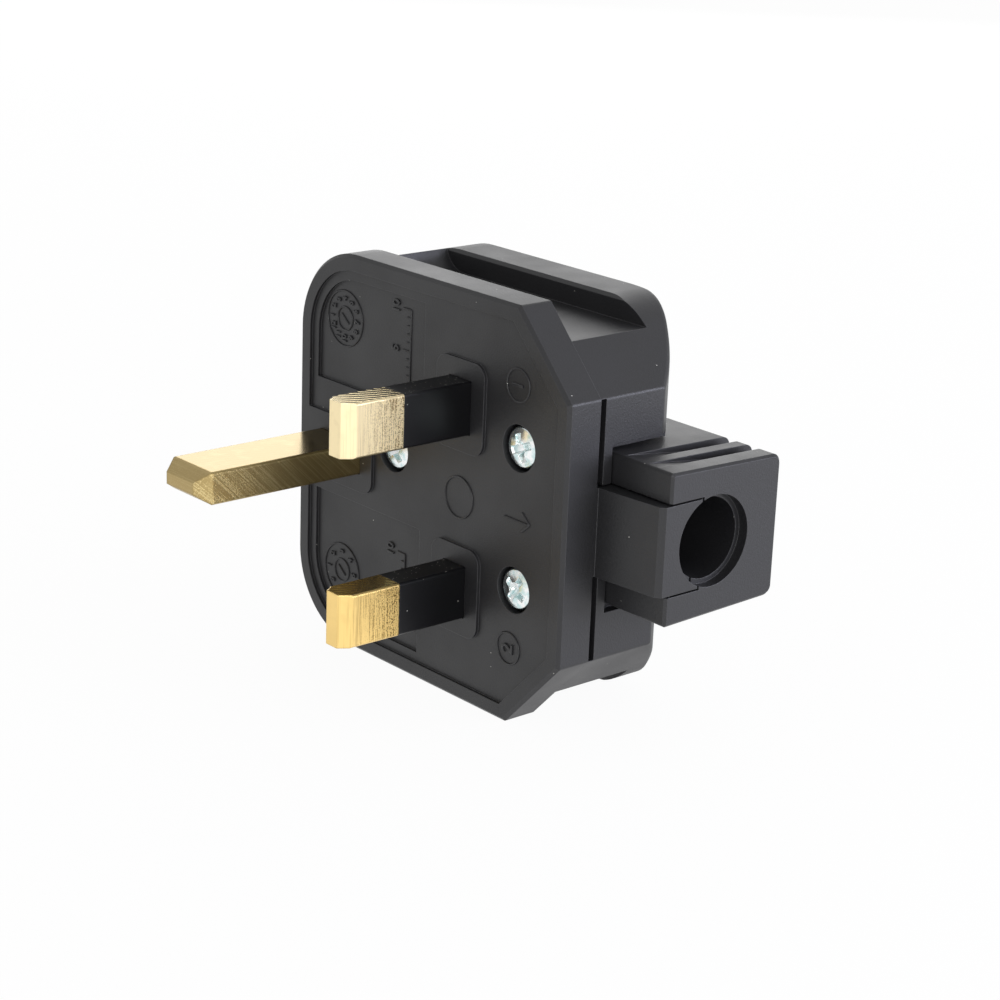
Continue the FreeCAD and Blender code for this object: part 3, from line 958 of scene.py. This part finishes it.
def screw_rings(sizes, place, radius, front, end, turn):
    """Rings of a recessed pan-head screw whose axis runs along Y.

    The profile goes from the crown over the rim, down the side, under the head and along the shank to its
    tip. The crown falls with the square of the radius. The recess depth is the larger of a bowl-shaped core
    and two crossed wings, each wing falling off along its length and with steep walls across its width.
    """
    crown_steps, rim_steps, turn_steps = 64, 8, 144
    tip_length, tip_radius = 0.3 * MM, 0.02 * MM
    wall = 0.07 * MM
    wing_fall, core_fall = 0.55, 0.5
    flat = radius - sizes.rim_radius
    top_radius = np.linspace(0.01, 1.0, crown_steps) * flat
    top_depth = sizes.crown * (top_radius / radius) ** 2
    rim = np.linspace(0.0, math.pi / 2, rim_steps)[1:]
    rim_start = sizes.crown * (flat / radius) ** 2
    rim_radius = flat + sizes.rim_radius * np.sin(rim)
    rim_depth = rim_start + sizes.rim_radius * (1 - np.cos(rim))
    length = end - front
    low_radius = np.array([radius, sizes.shank_radius, sizes.shank_radius, tip_radius])
    low_depth = np.array([sizes.head_height, sizes.head_height, length - tip_length, length])
    r = np.concatenate([top_radius, rim_radius, low_radius])[:, None]
    depth = np.concatenate([top_depth, rim_depth, low_depth])[:, None]
    angle = np.linspace(0.0, 2 * math.pi, turn_steps, endpoint=False)[None, :]
    u = r * np.cos(angle - turn)
    v = r * np.sin(angle - turn)
    half = sizes.wing_width / 2
    recess = np.zeros_like(u)
    for along, across in ((u, v), (v, u)):
        length_share = np.clip(1 - np.abs(along) / sizes.wing_length, 0, 1) ** wing_fall
        width_share = np.clip((half + wall - np.abs(across)) / wall, 0, 1)
        recess = np.maximum(recess, sizes.recess_depth * length_share * width_share)
    core = np.clip(1 - r / sizes.core_radius, 0, 1) ** core_fall * sizes.recess_depth
    recess = np.maximum(recess, core)
    on_crown = np.arange(r.shape[0])[:, None] < crown_steps
    depth = depth + np.where(on_crown, recess, 0)
    x = place[0] + r * np.cos(angle)
    z = place[1] + r * np.sin(angle)
    return np.stack([x, front + depth, z], axis=-1)


def face_depth(x, z):
    """Depth of the pin face at a place, found by a ray from in front of it."""
    before_pins = -0.1
    hit, point, _, _ = NODES["base"].ray_cast(Vector((x, before_pins, z)), Vector((0, 1, 0)))
    if not hit:
        raise RuntimeError("the mark lies off the pin face")
    return point.y


def on_face(points, x, z):
    """Lay flat shapes on the pin face: their right goes to +Z, their up to -X and their height to -Y."""
    return np.stack([x - points[..., 1], face_depth(x, z) - points[..., 2], z + points[..., 0]], axis=-1)


def number_mesh(text, size, height, x, z):
    """Raised number from a font outline with a small bevel, centred on a place of the pin face."""
    curve = bpy.data.curves.new("number_outline", "FONT")
    curve.body = text
    curve.size = size
    curve.align_x = "CENTER"
    curve.align_y = "CENTER"
    curve.extrude = height
    curve.bevel_depth = 0.03 * MM
    curve.bevel_resolution = 1
    holder = bpy.data.objects.new("number_outline", curve)
    mesh = bpy.data.meshes.new_from_object(holder)
    bpy.data.objects.remove(holder)
    points = np.zeros(len(mesh.vertices) * 3)
    mesh.vertices.foreach_get("co", points)
    mesh.vertices.foreach_set("co", on_face(points.reshape(-1, 3), x, z).ravel())
    return mesh


def ridge_section(steps):
    """Shares of half width and height round a ridge: a half ellipse, closed a little under the face."""
    under_face = -0.3
    over = np.linspace(0.0, 2 * math.pi, steps, endpoint=False)[None, :]
    return np.cos(over), np.maximum(np.sin(over), under_face)


def ridge_ring(radius, half_width, height, x, z):
    """Raised ring: the ridge's section, half_width by height, carried round a circle."""
    turn_steps, section_steps = 72, 14
    around = np.linspace(0.0, 2 * math.pi, turn_steps, endpoint=False)[:, None]
    width_share, height_share = ridge_section(section_steps)
    reach = radius + half_width * width_share
    rise = height * height_share
    points = np.stack([reach * np.cos(around), reach * np.sin(around), rise + 0 * around], axis=-1)
    return loop_mesh("ridge_ring", on_face(points, x, z))


def ridge_bar(start, end, half_width, height, x, z):
    """Raised line: the ridge's section carried along a straight run.

    Each end swells to the full section over half a width, as a quarter circle rises.
    """
    start, end = np.array(start), np.array(end)
    length = np.linalg.norm(end - start)
    forward = (end - start) / length
    side = np.array([-forward[1], forward[0]])
    section_steps = 12
    least_swell = 0.02
    along = np.array([0.0, 0.15, 0.5, 1.0])
    quarter = 1 - (1 - along) ** 2
    tips = np.concatenate([along * half_width, length - along[::-1] * half_width])[:, None]
    swell = np.sqrt(np.concatenate([quarter, quarter[::-1]]))[:, None] + least_swell
    width_share, height_share = ridge_section(section_steps)
    across = half_width * width_share * swell
    rise = height * height_share * swell
    u = start[0] + forward[0] * tips + side[0] * across
    v = start[1] + forward[1] * tips + side[1] * across
    return surface_mesh("ridge_bar", on_face(np.stack([u, v, rise], axis=-1), x, z))


def number_dial(marks, labels, x, z):
    """Raised dial: a rim, an inner ring with a pointer across it, and plain numbers round between the two."""
    inner_share, number_share, pointer_share = 0.42, 0.73, 0.27
    pointer_angle = 0.9
    small = 0.85 * marks.number_size
    radius = marks.dial_radius
    meshes = [
        ridge_ring(radius, marks.ridge, marks.height, x, z),
        ridge_ring(inner_share * radius, marks.ridge, marks.height, x, z),
    ]
    for step, label in enumerate(labels):
        angle = math.pi / 2 - 2 * math.pi * step / len(labels)
        reach = number_share * radius
        place = (x - reach * math.sin(angle), z + reach * math.cos(angle))
        meshes.append(number_mesh(label, small, marks.height, *place))
    pointer = np.array([math.cos(pointer_angle), math.sin(pointer_angle)]) * radius * pointer_share
    meshes.append(ridge_bar(-pointer, pointer, marks.ridge, marks.height, x, z))
    return meshes


def length_gauge(marks, steps, x, z):
    """Raised scale: a base line and a tick at every step, each fifth one longer and with its plain number."""
    short_tick, long_tick, number_gap = 0.8 * MM, 1.5 * MM, 2.7 * MM
    large = 1.3 * marks.number_size
    half = steps * marks.gauge_step / 2
    meshes = [ridge_bar((-half, 0.0), (half, 0.0), marks.ridge, marks.height, x, z)]
    for step in range(steps + 1):
        along = step * marks.gauge_step - half
        fifth = step % 5 == 0
        tall = long_tick if fifth else short_tick
        meshes.append(ridge_bar((along, 0.0), (along, tall), marks.ridge, marks.height, x, z))
        if fifth:
            meshes.append(number_mesh(str(step), large, marks.height, x - number_gap, z + along))
    return meshes


def ringed_number(marks, label, x, z):
    """Raised ring with a plain number in it."""
    return [
        ridge_ring(marks.ring_radius, marks.ridge, marks.height, x, z),
        number_mesh(label, 2 * marks.number_size, marks.height, x, z),
    ]


def outlet_arrow(marks, x, z):
    """Raised arrow that points to the cord outlet: a shaft and two barbs."""
    half_length, barb_reach, barb_end = 2.2 * MM, 1.2 * MM, 0.8 * MM
    tip = (0.0, -half_length)
    ends = ((0.0, half_length), (-barb_reach, -barb_end), (barb_reach, -barb_end))
    return [ridge_bar(end, tip, marks.ridge, marks.height, x, z) for end in ends]


class PLUG_OT_moulding(bpy.types.Operator):
    """Give base, cover and cord-grip yoke their black moulding"""

    bl_idname = "plug.moulding"
    bl_label = "Moulded body"

    def execute(self, context):
        dress(moulded_urea(context.scene.plug_finish), "base", "cover", "cord_grip_yoke")
        return {"FINISHED"}


class PLUG_OT_pins(bpy.types.Operator):
    """Give the three pins their milled brass and the live pins their sleeves"""

    bl_idname = "plug.pins"
    bl_label = "Pins and sleeves"

    def execute(self, context):
        finish = context.scene.plug_finish
        sleeve_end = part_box("neutral_pin_sleeve")[0].y
        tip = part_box("neutral_pin")[0].y
        # The live pins are worn over this share of their bare length, most at the sleeve.
        worn_share = 0.75
        fade = sleeve_end + worn_share * (tip - sleeve_end)
        earth_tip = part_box("earth_pin")[0].y
        neutral = milled_brass(
            "milled_brass_neutral_pin",
            finish.neutral_brass,
            finish.brass_dull,
            edge_radius=0.14 * MM,
            slant=0.0,
            line_width=0.1 * MM,
            line_depth=0.25,
            worn_from=fade,
            worn_to=sleeve_end,
            arc_depth=0.7,
        )
        line = milled_brass(
            "milled_brass_line_pin",
            finish.line_brass,
            finish.brass_dull,
            edge_radius=0.2 * MM,
            slant=0.0,
            line_width=0.14 * MM,
            line_depth=0.35,
            worn_from=fade,
            worn_to=sleeve_end,
            arc_depth=0.35,
        )
        earth = milled_brass(
            "milled_brass_earth_pin",
            finish.earth_brass,
            finish.earth_scratch,
            edge_radius=0.4 * MM,
            slant=0.8,
            line_width=0.12 * MM,
            line_depth=0.3,
            worn_from=0.35 * earth_tip,
            worn_to=1.15 * earth_tip,
            arc_depth=0.05,
        )
        dress(neutral, "neutral_pin")
        dress(line, "line_pin")
        dress(earth, "earth_pin")
        dress(sleeve_nylon(finish), "neutral_pin_sleeve", "line_pin_sleeve")
        return {"FINISHED"}


class PLUG_OT_inner(bpy.types.Operator):
    """Finish the terminals, fuse, clips, inserts and washer inside the body"""

    bl_idname = "plug.inner"
    bl_label = "Inner parts"

    def execute(self, context):
        finish = context.scene.plug_finish
        brass = plain_metal("machined_brass", finish.line_brass, roughness=0.3)
        bronze = plain_metal("phosphor_bronze_strip", finish.bronze, roughness=0.3)
        dress(brass, "line_terminal", "cord_grip_inserts", "cover_screw_insert")
        dress(bronze, "line_pin_fuse_clip", "line_terminal_fuse_clip")
        dress(plated_zinc(finish), "terminal_screws")
        dress(plain_filler("fired_fuse_ceramic", finish.ceramic, roughness=0.55), "fuse_tube")
        dress(plain_metal("nickel_plated_brass", finish.nickel, roughness=0.22), "fuse_caps")
        dress(plain_metal("tinned_fuse_strip", finish.nickel, roughness=0.35), "fuse_element")
        dress(plain_filler("vulcanised_fibre", finish.fibre, roughness=0.7), "cover_screw_washer")
        return {"FINISHED"}


class PLUG_OT_face_screws(bpy.types.Operator):
    """Model the three cross-recessed screws in the pin face"""

    bl_idname = "plug.face_screws"
    bl_label = "Face screws"

    def execute(self, context):
        sizes = context.scene.plug_screws
        zinc = plated_zinc(context.scene.plug_finish)
        smooth_angle = math.radians(40)
        grip_turns = (math.radians(22), math.radians(58))
        cover_turn = math.radians(35)
        low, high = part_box("cord_grip_screws")
        radius = (high.x - low.x) / 2
        x = (low.x + high.x) / 2
        meshes = []
        for z, turn in zip((high.z - radius, low.z + radius), grip_turns):
            rings = screw_rings(sizes, (x, z), radius - sizes.side_gap, low.y + sizes.sink, high.y, turn)
            meshes.append(surface_mesh("grip_screw", rings))
        grip = join_meshes("grip_screws_cross_recess", meshes)
        piece = add_piece("grip_screws_cross_recess", grip, zinc, smooth_angle)
        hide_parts("cord_grip_screws")
        low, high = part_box("cover_screw")
        place = ((low.x + high.x) / 2, (low.z + high.z) / 2)
        radius = (high.x - low.x) / 2 - sizes.side_gap
        rings = screw_rings(sizes, place, radius, low.y + sizes.sink, high.y, cover_turn)
        cover = surface_mesh("cover_screw_cross_recess", rings)
        piece = add_piece("cover_screw_cross_recess", cover, zinc, smooth_angle)
        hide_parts("cover_screw")
        return {"FINISHED"}


class PLUG_OT_marks(bpy.types.Operator):
    """Raise the dials, gauges, numbers and arrow on the pin face"""

    bl_idname = "plug.marks"
    bl_label = "Raised marks"

    def execute(self, context):
        marks = context.scene.plug_marks
        moulding = bpy.data.materials["moulded_black_urea"]
        smooth_angle = math.radians(35)
        gauge_steps = 10
        plain_ring_radius = 1.3 * marks.ring_radius
        # Each mark's X and Z on the pin face, after a dial's count of numbers or a ring's number
        dials = ((12, -22.6 * MM, 16.4 * MM), (8, -22.4 * MM, -15.6 * MM))
        gauges = ((-10.0 * MM, 15.0 * MM), (-10.0 * MM, -15.0 * MM))
        ringed = (("1", 9.6 * MM, 15.6 * MM), ("2", 9.6 * MM, -15.6 * MM))
        arrow = (10.2 * MM, 0.0)
        plain_ring = (0.0, 0.0)
        meshes = []
        for count, x, z in dials:
            labels = [str(number) for number in range(1, count + 1)]
            meshes += number_dial(marks, labels, x, z)
        for x, z in gauges:
            meshes += length_gauge(marks, gauge_steps, x, z)
        for label, x, z in ringed:
            meshes += ringed_number(marks, label, x, z)
        meshes += outlet_arrow(marks, *arrow)
        meshes.append(ridge_ring(plain_ring_radius, marks.ridge, marks.height, *plain_ring))
        relief = join_meshes("raised_marks", meshes)
        add_piece("raised_marks", relief, moulding, smooth_angle)
        return {"FINISHED"}


class PLUG_OT_stage(bpy.types.Operator):
    """Set out the white floor, the soft light and the camera"""

    bl_idname = "plug.stage"
    bl_label = "Stage"

    def execute(self, context):
        stage = context.scene.plug_stage
        self.add_floor(stage)
        self.add_world(stage)
        self.add_softbox("back_softbox", stage.back_level, stage.back_size, stage.back_place, WHITE)
        self.add_softbox("side_softbox", stage.side_level, stage.side_size, stage.side_place, stage.side_tint)
        self.add_softbox("fill_softbox", stage.fill_level, stage.fill_size, stage.fill_place, WHITE)
        self.add_camera(stage)
        return {"FINISHED"}

    def add_floor(self, stage):
        """White floor: matt, but an even white by the given share to the camera and in reflections."""
        half = stage.floor_size / 2
        ground = cad_box[0].z
        corners = [(-half, -half, ground), (half, -half, ground), (half, half, ground), (-half, half, ground)]
        mesh = bpy.data.meshes.new("floor")
        mesh.from_pydata(corners, [], [(0, 1, 2, 3)])
        material = bpy.data.materials.new("white_studio_floor")
        material.use_nodes = True
        tree = material.node_tree
        tree.nodes.clear()
        matt = add_node(tree, "ShaderNodeBsdfDiffuse", {"Color": stage.floor_colour})
        glow = add_node(tree, "ShaderNodeEmission", {"Color": WHITE, "Strength": 1.0})
        path = add_node(tree, "ShaderNodeLightPath")
        seen = add_node(
            tree,
            "ShaderNodeMath",
            {0: path.outputs["Is Camera Ray"], 1: path.outputs["Is Glossy Ray"]},
            operation="ADD",
        )
        seen = add_node(
            tree,
            "ShaderNodeMath",
            {0: seen.outputs[0], 1: path.outputs["Is Transmission Ray"]},
            operation="ADD",
            use_clamp=True,
        )
        share = add_node(
            tree, "ShaderNodeMath", {0: seen.outputs[0], 1: stage.floor_share}, operation="MULTIPLY"
        )
        both = add_node(
            tree, "ShaderNodeMixShader", {0: share.outputs[0], 1: matt.outputs[0], 2: glow.outputs[0]}
        )
        add_node(tree, "ShaderNodeOutputMaterial", {"Surface": both.outputs[0]})
        mesh.materials.append(material)
        floor = bpy.data.objects.new("floor", mesh)
        bpy.context.scene.collection.objects.link(floor)

    def add_world(self, stage):
        """Even white surroundings."""
        world = bpy.data.worlds.new("white_surroundings")
        bpy.context.scene.world = world
        world.use_nodes = True
        tree = world.node_tree
        tree.nodes.clear()
        light = add_node(tree, "ShaderNodeBackground", {"Color": WHITE, "Strength": stage.sky_level})
        add_node(tree, "ShaderNodeOutputWorld", {"Surface": light.outputs[0]})

    def add_softbox(self, name, level, size, place, tint):
        """Square lamp turned to the plug: its energy is the level times four times its area."""
        lamp = bpy.data.lights.new(name, "AREA")
        lamp.color = tint[:3]
        lamp.size = size
        lamp.energy = 4 * size ** 2 * level
        softbox = bpy.data.objects.new(name, lamp)
        softbox.location = place
        softbox.rotation_euler = (-Vector(place)).to_track_quat("-Z", "Y").to_euler()
        softbox.visible_camera = False
        bpy.context.scene.collection.objects.link(softbox)

    def add_camera(self, stage):
        """Camera at the photograph's place, and the plain view transform."""
        camera = bpy.data.cameras.new("photo_camera")
        camera.lens = stage.lens
        camera.sensor_width = stage.sensor
        camera.clip_start = 10 * MM
        holder = bpy.data.objects.new("photo_camera", camera)
        holder.location = stage.camera_place
        holder.rotation_euler = stage.camera_turn
        bpy.context.scene.collection.objects.link(holder)
        bpy.context.scene.camera = holder
        bpy.context.scene.view_settings.view_transform = "Standard"


OPERATORS = (
    PLUG_OT_moulding,
    PLUG_OT_pins,
    PLUG_OT_inner,
    PLUG_OT_face_screws,
    PLUG_OT_marks,
    PLUG_OT_stage,
)
GROUPS = {
    "plug_finish": PlugFinish,
    "plug_screws": PlugScrews,
    "plug_marks": PlugMarks,
    "plug_stage": PlugStage,
}


class PLUG_PT_sidebar(bpy.types.Panel):
    """Steps that finish the plug, in order, and their settings"""

    bl_idname = "PLUG_PT_sidebar"
    bl_label = "Three-pin plug"
    bl_space_type = "VIEW_3D"
    bl_region_type = "UI"
    bl_category = "Plug"

    def draw(self, context):
        for operator in OPERATORS:
            self.layout.operator(operator.bl_idname)
        for name, group in GROUPS.items():
            box = self.layout.box()
            for setting in group.__annotations__:
                box.prop(getattr(context.scene, name), setting)


def register():
    for kind in (*GROUPS.values(), *OPERATORS, PLUG_PT_sidebar):
        bpy.utils.register_class(kind)
    for name, group in GROUPS.items():
        setattr(bpy.types.Scene, name, PointerProperty(type=group))


def unregister():
    for name in GROUPS:
        delattr(bpy.types.Scene, name)
    for kind in reversed((*GROUPS.values(), *OPERATORS, PLUG_PT_sidebar)):
        bpy.utils.unregister_class(kind)


def main():
    register()
    bpy.ops.plug.moulding()
    bpy.ops.plug.pins()
    bpy.ops.plug.inner()
    bpy.ops.plug.face_screws()
    bpy.ops.plug.marks()
    bpy.ops.plug.stage()


if __name__ == "__main__":
    main()
